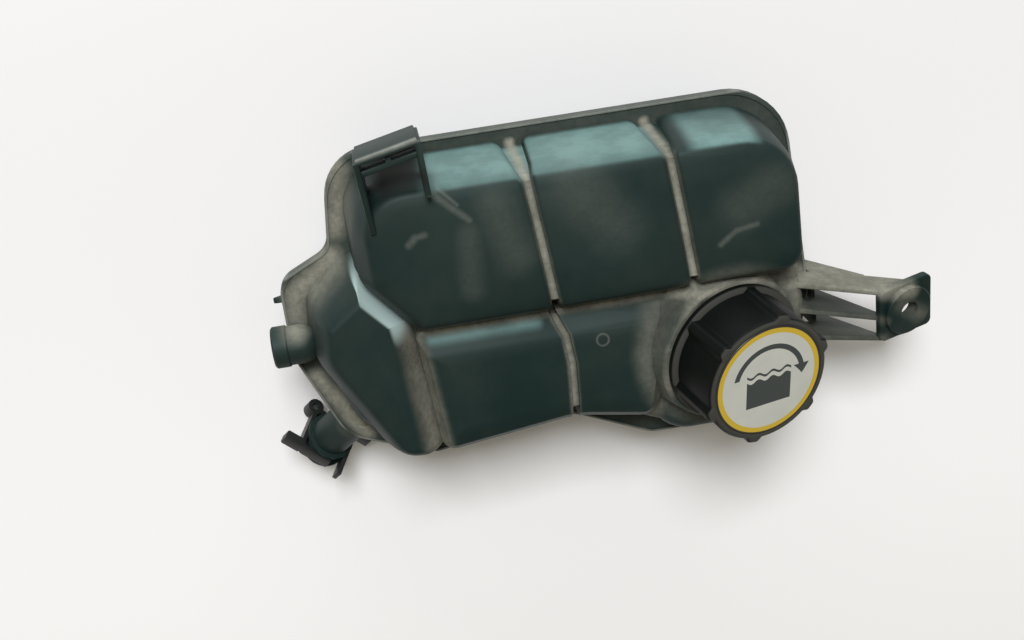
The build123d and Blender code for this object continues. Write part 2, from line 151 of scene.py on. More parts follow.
# Each web's place at its root and its tip, its depth at the plate, and its run on under the plate
webs = [(4.5, -8.0, 26.0, 20.0), (-7.5, -21.0, 6.0, 0.0), (-21.0, -31.5, 4.0, 14.0)]
bolt_place = Vector((178.0, -18.5))
bolt_height = 24.0
bolt_hole_radius = 4.5
plate_plan = [((-14, -13.5), 3), ((14, -13.5), 3), ((14, 13.5), 3), ((-14, 13.5), 3)]
plate_turn = math.radians(6.0)
plate_thickness = 4.0
pad_radius = 12.0
pad_height = 2.5

# Hose holder: three plates, a bar in front of the back one and a tie between the two
holder_wall = 2.5
holder_foot = 30.0
holder_top = 58.0
holder_corners = [Vector((-54.3, 64.0)), Vector((-56.5, 96.0)), Vector((-31.0, 101.3)), Vector((-30.0, 78.0))]
bar_offset = 5.5
bar_drop = 3.0
bar_depth = 8.0

# Inlet and outlet spigots
inlet_tip = (-107.0, 10.5, 14.0)
inlet_radius = 8.7
inlet_bore = 5.5
inlet_bead_radius = 9.3
inlet_bead_length = 7.0
inlet_root = 21.0
dome_angles = [math.radians(90 - 15 * step) for step in range(6)]
outlet_place = (-82.5, -41.0, -13.0)
outlet_axis = Vector((-0.55, -0.6, -0.58)).normalized()
outlet_radius = 9.6
outlet_bore = 5.5
outlet_socket = 7.2
outlet_socket_depth = 22.0
outlet_length = 31.0
outlet_root = 20.0
collar_radius = 11.6
collar_thickness = 2.0
collar_places = [17.7, 26.3]
collar_edge = 0.3
spigot_edge = 0.8
bead_step = 0.6
hook_y = 26.0
hook_thickness = 3.0
hook_profile = [(-90.0, -3.0), (-105.0, -5.0), (-90.0, -15.0)]

# Neck and cap, measured along and round their axis
boss_radius = 34.0
boss_height = 12.5
boss_draft = math.tan(math.radians(10.0))
boss_edge = 1.2
boss_room_depth = 12.0
neck_bore = 20.0
mouth_room = 2.0
neck_radius = 24.2
neck_length = 34.3
neck_edge = 0.6
neck_sink = 0.4
thread_height = 1.3
thread_sink = 0.5
thread_root_half = 1.1
thread_crest_half = 0.35
thread_lead = 7.0
thread_turns = 1.6
thread_above_cover_foot = 5.0
cover_foot = 13.1
cover_face = 42.1
cover_ceiling = 38.1
cover_bore = 26.4
cover_radius = 31.5
cover_edge = 1.6
cover_taper = 0.25
recess_edge = 0.2
ridge_depth = 2.2
ridge_base = math.radians(8.0)
ridge_tip = math.radians(3.2)
ridge_turn = math.radians(18.0)
grip_steps = 288
rim_radius = 32.2
rim_height = 3.2
rim_edge = 0.5
rim_step = 0.3
bead_radius = 24.9
bead_height = 0.8
label_radius = 26.0
label_thickness = 0.4
label_clearance = 0.2
label_edge = 0.1
insert_flange_radius = 25.6
insert_flange_foot = 34.6
insert_headroom = 0.3
plug_radius = 19.7
plug_foot = 17.3
plug_edge = 0.8
plug_floor = 19.8
plug_bore = 14.0
seat_radius = 8.5
seal_middle = 18.75
seal_section = 1.2
seal_room = 0.05
seal_groove_room = 0.1
seal_steps = 20
seal_heights = {"upper_o_ring": 30.6, "lower_o_ring": 24.6}


def datum_place(x, y, height=0.0):
    """A place in plan and its height, in metres in the row's frame."""
    return datum + Vector((x, y, height)) * MM


def deselect():
    if bpy.context.mode != "OBJECT":
        bpy.ops.object.mode_set(mode="OBJECT")
    bpy.ops.object.select_all(action="DESELECT")


def take(piece):
    """Makes a piece the only one selected."""
    deselect()
    piece.select_set(True)
    bpy.context.view_layer.objects.active = piece


def edit_all(piece):
    take(piece)
    bpy.ops.object.mode_set(mode="EDIT")
    bpy.ops.mesh.select_all(action="SELECT")


def face_out(piece):
    """Merges doubles and turns every face outwards."""
    edit_all(piece)
    bpy.ops.mesh.remove_doubles(threshold=0.005 * MM)
    bpy.ops.mesh.delete_loose(use_edges=True)
    bpy.ops.mesh.select_all(action="SELECT")
    bpy.ops.mesh.normals_make_consistent(inside=False)
    bpy.ops.object.mode_set(mode="OBJECT")


def finish_with(piece, kind, **settings):
    """Adds a modifier and applies it."""
    take(piece)
    modifier = piece.modifiers.new(kind.lower(), kind)
    for key, value in settings.items():
        setattr(modifier, key, value)
    bpy.ops.object.modifier_apply(modifier=modifier.name)


def soften(piece, width, angle=24.0, segments=4):
    """Rounds the edges that turn by more than an angle."""
    limit = math.radians(angle)
    finish_with(piece, "BEVEL", width=width * MM, segments=segments, limit_method="ANGLE", angle_limit=limit)


def combine(piece, tools, operation):
    """Joins tools to a piece or cuts them out of it, and removes them."""
    for tool in tools:
        finish_with(piece, "BOOLEAN", object=tool, operation=operation, solver="EXACT")
        bpy.data.objects.remove(tool)
    return piece


def fuse(piece, *tools):
    return combine(piece, tools, "UNION")


def cut(piece, *tools):
    return combine(piece, tools, "DIFFERENCE")


def join(piece, *others):
    """Makes closed forms one piece without cutting them against each other."""
    take(piece)
    for other in others:
        other.select_set(True)
    bpy.ops.object.join()
    return piece


def inset_plan(plan, insets):
    """Moves each side of a plan in by its own inset."""
    corners = [Vector(corner) for corner, _ in plan]
    sides = []
    for start, end, inset in zip(corners, corners[1:] + corners[:1], insets):
        run = (end - start).normalized()
        sides.append((start + Vector((-run.y, run.x)) * inset, run))
    places = []
    for (start, run), (other, way) in zip(sides[-1:] + sides[:-1], sides):
        places.append(start + run * ((other - start).cross(way) / run.cross(way)))
    moved = []
    for index, (_, radius) in enumerate(plan):
        run, way = sides[index - 1][1], sides[index][1]
        turn = math.atan2(run.cross(way), run.dot(way))
        give = min(insets[index - 1], insets[index])
        before = (places[index] - places[index - 1]).length
        after = (places[(index + 1) % len(places)] - places[index]).length
        most = most_corner_share * min(before, after) / math.tan(abs(turn) / 2)
        corner_radius = max(radius - math.copysign(give, turn), least_corner_radius)
        moved.append((places[index], min(corner_radius, most)))
    return moved


def rounded(plan):
    """Points along a plan with rounded corners."""
    points = []
    for index, (corner, radius) in enumerate(plan):
        corner = Vector(corner)
        before = (corner - Vector(plan[index - 1][0])).normalized()
        after = (Vector(plan[(index + 1) % len(plan)][0]) - corner).normalized()
        turn = math.atan2(before.cross(after), before.dot(after))
        start = corner - before * radius * math.tan(abs(turn) / 2)
        middle = start + Vector((-before.y, before.x)) * math.copysign(radius, turn)
        # The small give keeps a corner's count of steps when rounding errors move its turn.
        steps = max(2, math.ceil(abs(turn) / corner_step - 0.01))
        for share in range(steps + 1):
            points.append(middle + Matrix.Rotation(turn * share / steps, 2) @ (start - middle))
    return points


def loft(name, rings):
    """A closed form through rings of places: the first ring is filled, then extruded from ring to ring."""
    deselect()
    bpy.ops.mesh.primitive_circle_add(vertices=len(rings[0]), fill_type="NGON")
    piece = bpy.context.object
    piece.name = name
    for vertex, place in zip(piece.data.vertices, rings[0]):
        vertex.co = place
    bpy.ops.object.mode_set(mode="EDIT")
    bpy.ops.mesh.select_all(action="SELECT")
    for before, after in zip(rings, rings[1:]):
        bpy.ops.mesh.extrude_region_move()
        mesh = bmesh.from_edit_mesh(piece.data)
        for vertex in mesh.verts:
            if vertex.select:
                nearest = min(range(len(before)), key=lambda i: (before[i] - vertex.co).length_squared)
                vertex.co = after[nearest]
        bmesh.update_edit_mesh(piece.data)
    bpy.ops.object.mode_set(mode="OBJECT")
    face_out(piece)
    return piece


def block(name, plan, inset, height, draft, bevel, crown=0.0, side=1, foot=0.0, reach=0.0, crown_reach=9.0):
    """Raises a plan from the weld, up or down: a drafted wall, a bevel, and a face with a slight crown.

    With a reach the two edges of the bevel are rounded, the upper one by that much over the face.
    """
    bevel_height, bevel_widths = bevel
    shoulder = height - bevel_height
    # Each level is its height and its shares of the draft, of the bevel and of the reach.
    levels = [Vector((foot, 0, 0, 0)), Vector((shoulder, 1, 0, 0)), Vector((height - crown, 1, 1, 0))]
    if crown:
        levels += [Vector((height - 0.35 * crown, 1, 1, 0.4)), Vector((height, 1, 1, 1))]
    if reach:
        levels = rounded_levels(*levels, Vector((height, 1, 1, 1)))
    rings = []
    for level, draft_share, bevel_share, reach_share in levels:
        over = reach_share * (reach or crown_reach)
        insets = [
            inset + draft_share * shoulder * draft + bevel_share * width + over for width in bevel_widths
        ]
        rings.append([datum_place(p.x, p.y, side * level) for p in rounded(inset_plan(plan, insets))])
    return loft(name, rings)


def rounded_levels(foot, shoulder, edge, face):
    """Turns a block's shoulder and upper edge into curves."""
    levels = [foot]
    for before, corner, after, (lead_in, lead_out) in (
        (foot, shoulder, edge, shoulder_shares),
        (shoulder, edge, face, edge_shares),
    ):
        start = corner + (before - corner) * lead_in
        end = corner + (after - corner) * lead_out
        for step in range(curve_steps + 1):
            share = step / curve_steps
            levels.append(start * (1 - share) ** 2 + corner * 2 * share * (1 - share) + end * share ** 2)
    return levels


def slab(name, places, push):
    """A flat plate: an outline of places, extruded by a push."""
    return loft(name, [places, [place + push for place in places]])


def groove_tool(line, width, foot, top, flare=0.0):
    """A cutter that follows a groove's middle line, wider at its back end by the flare."""
    left, right = [], []
    points = [Vector(point) for point in line]
    for index, point in enumerate(points):
        run = (points[min(index + 1, len(points) - 1)] - points[max(index - 1, 0)]).normalized()
        half = width / 2 + (flare if index == 0 else 0.0)
        left.append(point + Vector((-run.y, run.x)) * half)
        right.append(point - Vector((-run.y, run.x)) * half)
    plan = left + right[::-1]
    rings = [[datum_place(p.x, p.y, level) for p in plan] for level in (foot, top)]
    return loft("groove", rings)


def turned(name, profile, place, steps=96):
    """Spins a closed profile of (radius, height) round an axis."""
    deselect()
    bpy.ops.mesh.primitive_circle_add(vertices=len(profile))
    piece = bpy.context.object
    piece.name = name
    for vertex, (radius, height) in zip(piece.data.vertices, profile):
        vertex.co = Vector((radius, 0, height)) * MM
    edit_all(piece)
    bpy.ops.mesh.spin(steps=steps, angle=2 * math.pi, center=(0, 0, 0), axis=(0, 0, 1))
    bpy.ops.object.mode_set(mode="OBJECT")
    face_out(piece)
    piece.data.transform(place)
    return piece


def round_ring(radius, height, place, steps):
    """Places round a circle about an axis."""
    ring = []
    for step in range(steps):
        angle = 2 * math.pi * step / steps
        ring.append(place @ (Vector((radius * math.cos(angle), radius * math.sin(angle), height)) * MM))
    return ring


def stepped(name, profile, place, steps=64):
    """A solid round form through rings of (radius, height), with flat ends."""
    return loft(name, [round_ring(radius, height, place, steps) for radius, height in profile])


def rod(name, radius, foot, top, place, steps=64):
    """A plain round bar, for bores and as a start for stubs."""
    return stepped(name, [(radius, foot), (radius, top)], place, steps)


def coil(name, section, place, lead, turns, foot):
    """Winds a closed section of (radius, height) round an axis into a helix with closed ends."""
    deselect()
    bpy.ops.mesh.primitive_circle_add(vertices=len(section))
    piece = bpy.context.object
    piece.name = name
    for vertex, (radius, height) in zip(piece.data.vertices, section):
        vertex.co = Vector((radius, 0, height + foot)) * MM
    turn = 2 * math.pi * turns
    steps = math.ceil(40 * turns)
    finish_with(
        piece, "SCREW", axis="Z", angle=turn, screw_offset=lead * turns * MM, steps=steps, render_steps=steps
    )
    edit_all(piece)
    bpy.ops.mesh.select_all(action="DESELECT")
    bpy.ops.mesh.select_non_manifold()
    bpy.ops.mesh.fill_holes(sides=0)
    bpy.ops.object.mode_set(mode="OBJECT")
    face_out(piece)
    piece.data.transform(place)
    return piece


def smooth(piece):
    take(piece)
    bpy.ops.object.shade_smooth_by_angle(angle=smooth_angle)


def rib(name, start, end, profile, thickness):
    """A flat rib that stands on a line in plan. Its profile runs along the line and upwards."""
    start, end = Vector(start), Vector(end)
    run = (end - start).normalized()
    aside = Vector((-run.y, run.x, 0)) * thickness
    corners = [(start + run * reach, height) for reach, height in profile]
    places = [datum_place(place.x, place.y, height) - aside * MM / 2 for place, height in corners]
    piece = slab(name, places, aside * MM)
    soften(piece, 0.5, 30.0, 2)
    return piece


def upper_forms(inset):
    """The upper shell's blocks: rounded and crowned for its outside, plain and drawn in for its inside."""
    outer = inset == 0.0
    crown = face_crown if outer else 0.0
    foot = 0.0 if outer else -overlap
    reach = edge_reach if outer else 0.0
    low_blocks = []
    for name, plan, plan_inset, height, draft, bevel in (
        ("valley", wall_plan, inset + valley_setback, valley_height, shelf_draft, valley_bevel),
        ("shelf", shelf_plan, inset, shelf_height, shelf_draft, shelf_bevel),
        ("leaf", leaf_plan, inset, leaf_height, leaf_draft, leaf_bevel),
    ):
        low_blocks.append(block(name, plan, plan_inset, height - inset, draft, bevel, foot=foot, reach=reach))
    rows = []
    for name, plan, height, draft, bevel, lines, flare, crown_reach in (
        ("lower_row", lower_row_plan, lower_row_height, upright_draft, lower_row_bevel, [lower_groove],
         0.0, lower_row_crown_reach),
        ("upper_row", upper_row_plan, upper_row_height, upper_row_draft, upper_row_bevel, upper_grooves,
         groove_flare, upper_row_crown_reach),
    ):
        row_height = height - inset
        row = block(name, plan, inset, row_height, draft, bevel, crown, foot=foot, crown_reach=crown_reach)
        for line in lines:
            cut(row, groove_tool(line, groove_width + 2 * inset, -2 * overlap, height + overlap, flare))
        core_height = height - inset - groove_depth
        core = block(name + "_core", plan, inset + groove_depth, core_height, draft, bevel, foot=foot)
        if outer:
            soften(row, row_edge_radius, row_edge_angle)
        rows += [row, core]
    return [*low_blocks, *rows]


def flange(side):
    """The weld flange, above or below the weld. The upper one has a thin lip along its edge."""
    lip = lip_height if side > 0 else 0.0
    ring = block("flange", wall_plan, -flange_width, flange_thickness + lip, 0.0, flange_bevel, side=side)
    if lip:
        inner = lip_width - flange_width
        foot = flange_thickness
        room = block("lip_room", wall_plan, inner, lip_room_height, 0.0, lip_room_bevel, side=side, foot=foot)
        cut(ring, room)
    return ring


def plate_middle(place):
    """Height of the bracket plate's middle above the weld, over a place in plan."""
    drop = pad_height + plate_thickness / 2
    off = place - bolt_place
    return bolt_height - (drop + upright.x * off.x + upright.y * off.y) / upright.z


def bracket():
    """The bolt bracket's webs, plate and pad."""
    pieces = []
    feet = []
    for root_y, tip_y, tip_depth, run_on in webs:
        root = Vector((web_root_x, root_y))
        tip = Vector((web_tip_x, tip_y))
        reach = (tip - root).length
        share = (web_foot_x - web_root_x) / (web_tip_x - web_root_x)
        top = plate_middle(tip)
        foot = reach * share
        feet.append(root.lerp(tip, share))
        profile = [(0, flange_thickness), (foot, flange_thickness), (foot, -web_foot_depth)]
        profile += [(reach, top - tip_depth), (reach, top), (0, shelf_height - 1.0)]
        pieces.append(rib("web", root, tip, profile, web_wall))
        if run_on:
            end = tip + Vector((run_on, 0))
            gusset = [(-1.0, top - tip_depth), (run_on, plate_middle(end)), (-1.0, top)]
            pieces.append(rib("gusset", tip, end, gusset, web_wall))
    beside = Vector((web_wall / 2, 0))
    width = feet[0].y - feet[-1].y
    low, high = foot_plate_heights
    foot_plate = [(0, low), (width, low), (width, high), (0, high)]
    first_foot = feet[0] + beside
    last_foot = Vector((feet[0].x, feet[-1].y)) + beside
    pieces.append(rib("foot_plate", first_foot, last_foot, foot_plate, web_wall))
    plate_rings = []
    for height in (-pad_height - plate_thickness, -pad_height):
        ring = [Matrix.Rotation(plate_turn, 2) @ point for point in rounded(plate_plan)]
        plate_rings.append([bolt @ (Vector((p.x, p.y, height)) * MM) for p in ring])
    plate = loft("plate", plate_rings)
    soften(plate, 0.7, 40.0, 3)
    pad = stepped("pad", [(pad_radius, -4), (pad_radius, -0.5), (pad_radius - 0.5, 0)], bolt, 72)
    return [*pieces, plate, pad]


def holder():
    """The hose holder's plates, its bar and the tie behind the bar."""
    left_end, left, right, right_end = holder_corners
    bar_left = left + (left_end - left).normalized() * bar_offset
    bar_right = right + (right_end - right).normalized() * bar_offset
    bar_top = holder_top - bar_drop
    bar_foot = bar_top - bar_depth
    plates = []
    for start, end, foot, start_top, end_top in (
        (left_end, left, holder_foot, upper_row_height, holder_top),
        (left, right, holder_foot, holder_top, holder_top),
        (right, right_end, holder_foot, holder_top, holder_top),
        (bar_left, bar_right, bar_foot, bar_top, bar_top),
        ((left + right) / 2, (bar_left + bar_right) / 2, bar_foot, bar_top, bar_top),
    ):
        reach = (end - start).length
        profile = [(0, foot), (reach, foot), (reach, end_top), (0, start_top)]
        plates.append(rib("holder_plate", start, end, profile, holder_wall))
    return plates


def along_axis(place, axis):
    """A frame whose z runs along an axis from a place of the datum."""
    turn = axis.to_track_quat("Z", "Y").to_matrix().to_4x4()
    return Matrix.Translation(datum_place(*place)) @ turn


def upper_shell():
    shell, *others = upper_forms(0.0)
    boss = stepped(
        "boss",
        [
            (boss_radius + (boss_height + wall) * boss_draft, -wall),
            (boss_radius + boss_edge * boss_draft, boss_height - boss_edge),
            (boss_radius - boss_edge, boss_height),
        ],
        neck,
        96,
    )
    inlet = along_axis(inlet_tip, Vector((1, 0, 0)))
    dome = [(inlet_radius * math.sin(a), inlet_root - inlet_radius * (1 - math.cos(a))) for a in dome_angles]
    spigot = stepped(
        "spigot",
        [
            (inlet_bead_radius - spigot_edge, 0),
            (inlet_bead_radius, spigot_edge),
            (inlet_bead_radius, inlet_bead_length - bead_step),
            (inlet_radius, inlet_bead_length),
            *dome,
        ],
        inlet,
        60,
    )
    fuse(shell, *others, flange(1), boss, *bracket(), *holder(), spigot)
    hollow, *rest = upper_forms(wall)
    boss_room = rod("boss_room", boss_radius - wall, -boss_room_depth, boss_height - wall, neck, 72)
    fuse(hollow, *rest, boss_room)
    cut(shell, hollow)
    cut(shell, rod("mouth", neck_bore + mouth_room, 0.0, boss_height + overlap, neck, 80))
    tube_foot = boss_height - wall - neck_sink
    tube = turned(
        "tube",
        [
            (neck_bore, tube_foot),
            (neck_radius, tube_foot),
            (neck_radius, neck_length - neck_edge),
            (neck_radius - neck_edge, neck_length),
            (neck_bore + neck_edge, neck_length),
            (neck_bore, neck_length - neck_edge),
        ],
        neck,
    )
    fuse(shell, tube)
    cut(shell, rod("inlet_bore", inlet_bore, -overlap, inlet_root + wall, inlet, 44))
    cut(shell, rod("bolt_hole", bolt_hole_radius, -pad_height - plate_thickness - overlap, overlap, bolt, 44))
    thread_root = neck_radius - thread_sink
    thread_crest = neck_radius + thread_height
    thread = [
        (thread_root, -thread_root_half),
        (thread_crest, -thread_crest_half),
        (thread_crest, thread_crest_half),
        (thread_root, thread_root_half),
    ]
    thread_foot = cover_foot + thread_above_cover_foot
    join(shell, coil("thread", thread, neck, thread_lead, thread_turns, thread_foot))
    shell.name = "upper_shell_moulding"
    return shell


def pan_forms(inset):
    """The lower shell's pan, whole for its outside or drawn in for its inside."""
    outer = inset == 0.0
    foot = 0.0 if outer else -overlap
    reach = edge_reach if outer else 0.0
    depth = pan_depth - inset
    pan = block("pan", wall_plan, inset, depth, upright_draft, pan_bevel, side=-1, foot=foot, reach=reach)
    for line in upper_grooves:
        start, end = Vector(line[0]), Vector(line[-1])
        long_line = [start, end + (end - start)]
        cut(pan, groove_tool(long_line, groove_width + 2 * inset, -pan_depth - overlap, 2 * overlap))
    core_inset = inset + pan_groove_depth
    core_depth = depth - pan_groove_depth
    core = block("pan_core", wall_plan, core_inset, core_depth, upright_draft, pan_bevel, side=-1, foot=foot)
    return [pan, core]


def lower_shell():
    shell, core = pan_forms(0.0)
    outlet = along_axis(outlet_place, outlet_axis)
    collars = []
    for foot in collar_places:
        top = foot + collar_thickness
        collars += [(outlet_radius, foot), (collar_radius, foot + collar_edge)]
        collars += [(collar_radius, top - collar_edge), (outlet_radius, top)]
    stub = stepped(
        "stub",
        [
            (outlet_radius, -outlet_root),
            *collars,
            (outlet_radius, outlet_length - spigot_edge),
            (outlet_radius - spigot_edge, outlet_length),
        ],
        outlet,
        60,
    )
    hook_side = [datum_place(x, hook_y - hook_thickness / 2, height) for x, height in hook_profile]
    hook = slab("hook", hook_side, Vector((0, hook_thickness * MM, 0)))
    soften(hook, 0.5, 30.0, 2)
    fuse(shell, core, flange(-1), stub, hook)
    hollow, inner_core = pan_forms(wall)
    fuse(hollow, inner_core)
    cut(shell, hollow)
    socket_foot = outlet_length - outlet_socket_depth
    bore = stepped(
        "outlet_bore",
        [
            (outlet_bore, -outlet_root - 2 * overlap),
            (outlet_bore, socket_foot - 1.0),
            (outlet_socket, socket_foot),
            (outlet_socket, outlet_length + overlap),
        ],
        outlet,
        44,
    )
    cut(shell, bore)
    shell.name = "lower_shell_moulding"
    return shell


def grip_ring(height, inset):
    """A ring round the cover's skirt with its grip ridges."""
    ring = []
    for step in range(grip_steps):
        angle = 2 * math.pi * step / grip_steps
        off = abs((angle - ridge_turn + math.pi / 6) % (math.pi / 3) - math.pi / 6)
        share = (ridge_base - off) / (ridge_base - ridge_tip)
        share = min(max(share, 0.0), 1.0)
        rise = share * share * (3 - 2 * share)
        radius = cover_radius - ridge_depth * (1 - rise) - inset
        ring.append(neck @ (Vector((radius * math.cos(angle), radius * math.sin(angle), height)) * MM))
    return ring


def cap_cover():
    recess = label_radius + label_clearance
    floor = cover_face - label_thickness
    cover = loft(
        "cap_cover_grip",
        [
            round_ring(rim_radius - rim_edge, cover_foot, neck, grip_steps),
            round_ring(rim_radius, cover_foot + rim_edge, neck, grip_steps),
            round_ring(rim_radius, cover_foot + rim_height - rim_edge, neck, grip_steps),
            round_ring(rim_radius - rim_edge, cover_foot + rim_height, neck, grip_steps),
            grip_ring(cover_foot + rim_height + rim_step, 0.0),
            grip_ring(cover_face - cover_edge, cover_taper),
            grip_ring(cover_face - 0.55 * cover_edge, cover_taper + 0.2 * cover_edge),
            grip_ring(cover_face - 0.2 * cover_edge, cover_taper + 0.55 * cover_edge),
            grip_ring(cover_face, cover_taper + cover_edge),
            round_ring(recess + 1.5 * recess_edge, cover_face, neck, grip_steps),
            round_ring(recess, cover_face - recess_edge, neck, grip_steps),
            round_ring(recess, floor, neck, grip_steps),
        ],
    )
    room = turned(
        "cover_room",
        [
            (0, cover_foot - overlap),
            (cover_bore, cover_foot - overlap),
            (cover_bore, neck_length - bead_height),
            (bead_radius, neck_length - 0.6 * bead_height),
            (bead_radius, neck_length - 0.4 * bead_height),
            (cover_bore, neck_length),
            (cover_bore, cover_ceiling),
            (0, cover_ceiling),
        ],
        neck,
    )
    cut(cover, room)
    return cover


def cap_label():
    return turned(
        "cap_label_disc",
        [
            (0, cover_face - label_thickness),
            (label_radius, cover_face - label_thickness),
            (label_radius, cover_face - label_edge),
            (label_radius - label_edge, cover_face),
            (0, cover_face),
        ],
        neck,
        128,
    )


def cap_insert():
    groove = seal_section + seal_room
    groove_floor = seal_middle - seal_section - seal_groove_room
    insert_top = cover_ceiling - insert_headroom
    outside = [(plug_radius - plug_edge, plug_foot), (plug_radius, plug_foot + plug_edge)]
    for height in sorted(seal_heights.values()):
        outside += [(plug_radius, height - groove), (groove_floor, height - groove)]
        outside += [(groove_floor, height + groove), (plug_radius, height + groove)]
    insert = turned(
        "cap_insert_plug",
        [
            (seat_radius, plug_foot),
            *outside,
            (plug_radius, insert_flange_foot),
            (insert_flange_radius, insert_flange_foot),
            (insert_flange_radius, insert_top),
            (plug_bore, insert_top),
            (plug_bore, plug_floor),
            (seat_radius, plug_floor),
        ],
        neck,
    )
    soften(insert, 0.25, 40.0, 2)
    return insert


def o_ring(name):
    """A rubber ring of round section in one of the plug's grooves."""
    height = seal_heights[name]
    section = []
    for step in range(seal_steps):
        angle = 2 * math.pi * step / seal_steps
        across_section = seal_section * math.cos(angle)
        section.append((seal_middle + across_section, height + seal_section * math.sin(angle)))
    return turned(name + "_rubber", section, neck, 120)


def outlet_clip():
    """The CAD clip with its edges rounded."""
    clip = nodes["outlet_clip"].copy()
    clip.data = nodes["outlet_clip"].data.copy()
    clip.name = "outlet_clip_moulding"
    bpy.context.collection.objects.link(clip)
    face_out(clip)
    edit_all(clip)
    bpy.ops.mesh.dissolve_limited(angle_limit=math.radians(1.0))
    soften(clip, 0.45, 40.0, 3)
    return clip


def put(tree, kind, inputs=None, **settings):
    """Adds a node. Each input is a value or another node's output."""
    node = tree.nodes.new("ShaderNode" + kind)
    for key, value in settings.items():
        setattr(node, key, value)
    for key, value in (inputs or {}).items():
        if isinstance(value, bpy.types.NodeSocket):
            tree.links.new(value, node.inputs[key])
        else:
            node.inputs[key].default_value = value
    return node


def reckon(tree, operation, *values, clamp=False):
    return put(tree, "Math", dict(enumerate(values)), operation=operation, use_clamp=clamp).outputs[0]


def vector(tree, operation, *values):
    node = put(tree, "VectorMath", dict(enumerate(values)), operation=operation)
    return node.outputs["Value" if operation in ("DOT_PRODUCT", "LENGTH", "DISTANCE") else "Vector"]


def fade(tree, value, start, end):
    """1 at the start, 0 at the end, with a soft change between them."""
    inputs = {"Value": value, "From Min": start, "From Max": end, "To Min": 1.0, "To Max": 0.0}
    return put(tree, "MapRange", inputs, interpolation_type="SMOOTHSTEP").outputs["Result"]


def piece_place(tree):
    """A place on a piece, in metres in the row's frame."""
    return put(tree, "TexCoord").outputs["Object"]


def facing(tree, direction):
    """How squarely a surface faces a direction: 1 straight towards it, 0 across it."""
    return vector(tree, "DOT_PRODUCT", put(tree, "TexCoord").outputs["Normal"], direction)


def rough_from(tree, tone, swing, least):
    """A roughness that rises from its least value with a tone."""
    return reckon(tree, "ADD", reckon(tree, "MULTIPLY", tone, swing), least)


def noise(tree, place, scale, detail=4.0, roughness=0.55):
    inputs = {"Vector": place, "Scale": scale, "Detail": detail, "Roughness": roughness}
    return put(tree, "TexNoise", inputs).outputs["Fac"]


def new_group(name, inputs, output):
    group = bpy.data.node_groups.new(name, "ShaderNodeTree")
    for label, kind in inputs:
        group.interface.new_socket(label, in_out="INPUT", socket_type="NodeSocket" + kind)
    group.interface.new_socket(output, in_out="OUTPUT", socket_type="NodeSocketFloat")
    source = group.nodes.new("NodeGroupInput").outputs
    result = group.nodes.new("NodeGroupOutput").inputs[output]
    return group, source, result


def line_group():
    """How near a place in plan is to a straight line: 1 on it, 0 past the width."""
    sockets = [("Start", "Vector"), ("End", "Vector"), ("Width", "Float")]
    tree, source, result = new_group("near_line", sockets, "Near")
    flat = vector(tree, "MULTIPLY", piece_place(tree), (1, 1, 0))
    off = vector(tree, "SUBTRACT", flat, source["Start"])
    run = vector(tree, "SUBTRACT", source["End"], source["Start"])
    reached = vector(tree, "DOT_PRODUCT", off, run)
    share = reckon(tree, "DIVIDE", reached, vector(tree, "DOT_PRODUCT", run, run))
    share = reckon(tree, "MAXIMUM", reckon(tree, "MINIMUM", share, 1.0), 0.0)
    scale = put(tree, "VectorMath", {0: run, "Scale": share}, operation="SCALE").outputs["Vector"]
    distance = vector(tree, "DISTANCE", off, scale)
    tree.links.new(fade(tree, distance, 0.0, source["Width"]), result)
    return tree


def radius_group():
    """How far a place is from an axis."""
    tree, source, result = new_group("axis_radius", [("Middle", "Vector"), ("Axis", "Vector")], "Radius")
    off = vector(tree, "SUBTRACT", piece_place(tree), source["Middle"])
    lift = vector(tree, "DOT_PRODUCT", off, source["Axis"])
    rise = put(tree, "VectorMath", {0: source["Axis"], "Scale": lift}, operation="SCALE").outputs["Vector"]
    tree.links.new(vector(tree, "DISTANCE", off, rise), result)
    return tree


near_line = line_group()
axis_radius = radius_group()


def plan_place(x, y):
    place = datum_place(x, y)
    return (place.x, place.y, 0.0)


def near_lines(tree, lines):
    """The greatest nearness to any of several lines of (start, end, width)."""
    result = None
    for start, end, width in lines:
        node = tree.nodes.new("ShaderNodeGroup")
        node.node_tree = near_line
        node.inputs["Start"].default_value = plan_place(*start)
        node.inputs["End"].default_value = plan_place(*end)
        node.inputs["Width"].default_value = width * MM
        near = node.outputs["Near"]
        result = near if result is None else reckon(tree, "MAXIMUM", result, near)
    return result


def radius_from(tree, middle, axis):
    """Distance from an axis, in millimetres."""
    node = tree.nodes.new("ShaderNodeGroup")
    node.node_tree = axis_radius
    node.inputs["Middle"].default_value = middle
    node.inputs["Axis"].default_value = axis
    return reckon(tree, "DIVIDE", node.outputs["Radius"], MM)


def near_circle(tree, middle, axis, radius, width):
    """1 on a circle round an axis, 0 past the width."""
    off = reckon(tree, "ABSOLUTE", reckon(tree, "SUBTRACT", radius_from(tree, middle, axis), radius))
    return fade(tree, off, 0.0, width)


def new_material(name):
    material = bpy.data.materials.new(name)
    material.use_nodes = True
    tree = material.node_tree
    return material, tree, tree.nodes["Principled BSDF"]


def mix_colour(tree, share, first, second):
    inputs = {"Factor": share, 6: first, 7: second}
    return put(tree, "Mix", inputs, data_type="RGBA").outputs[2]


def colour(red, green, blue):
    return (red, green, blue, 1.0)


def grain_bump(tree, place, scale, strength):
    """The fine grain of a mould, as a bump."""
    grain = noise(tree, place, scale, 2.0, 0.6)
    inputs = {"Height": grain, "Strength": strength, "Distance": grain_depth * MM}
    return put(tree, "Bump", inputs).outputs["Normal"]


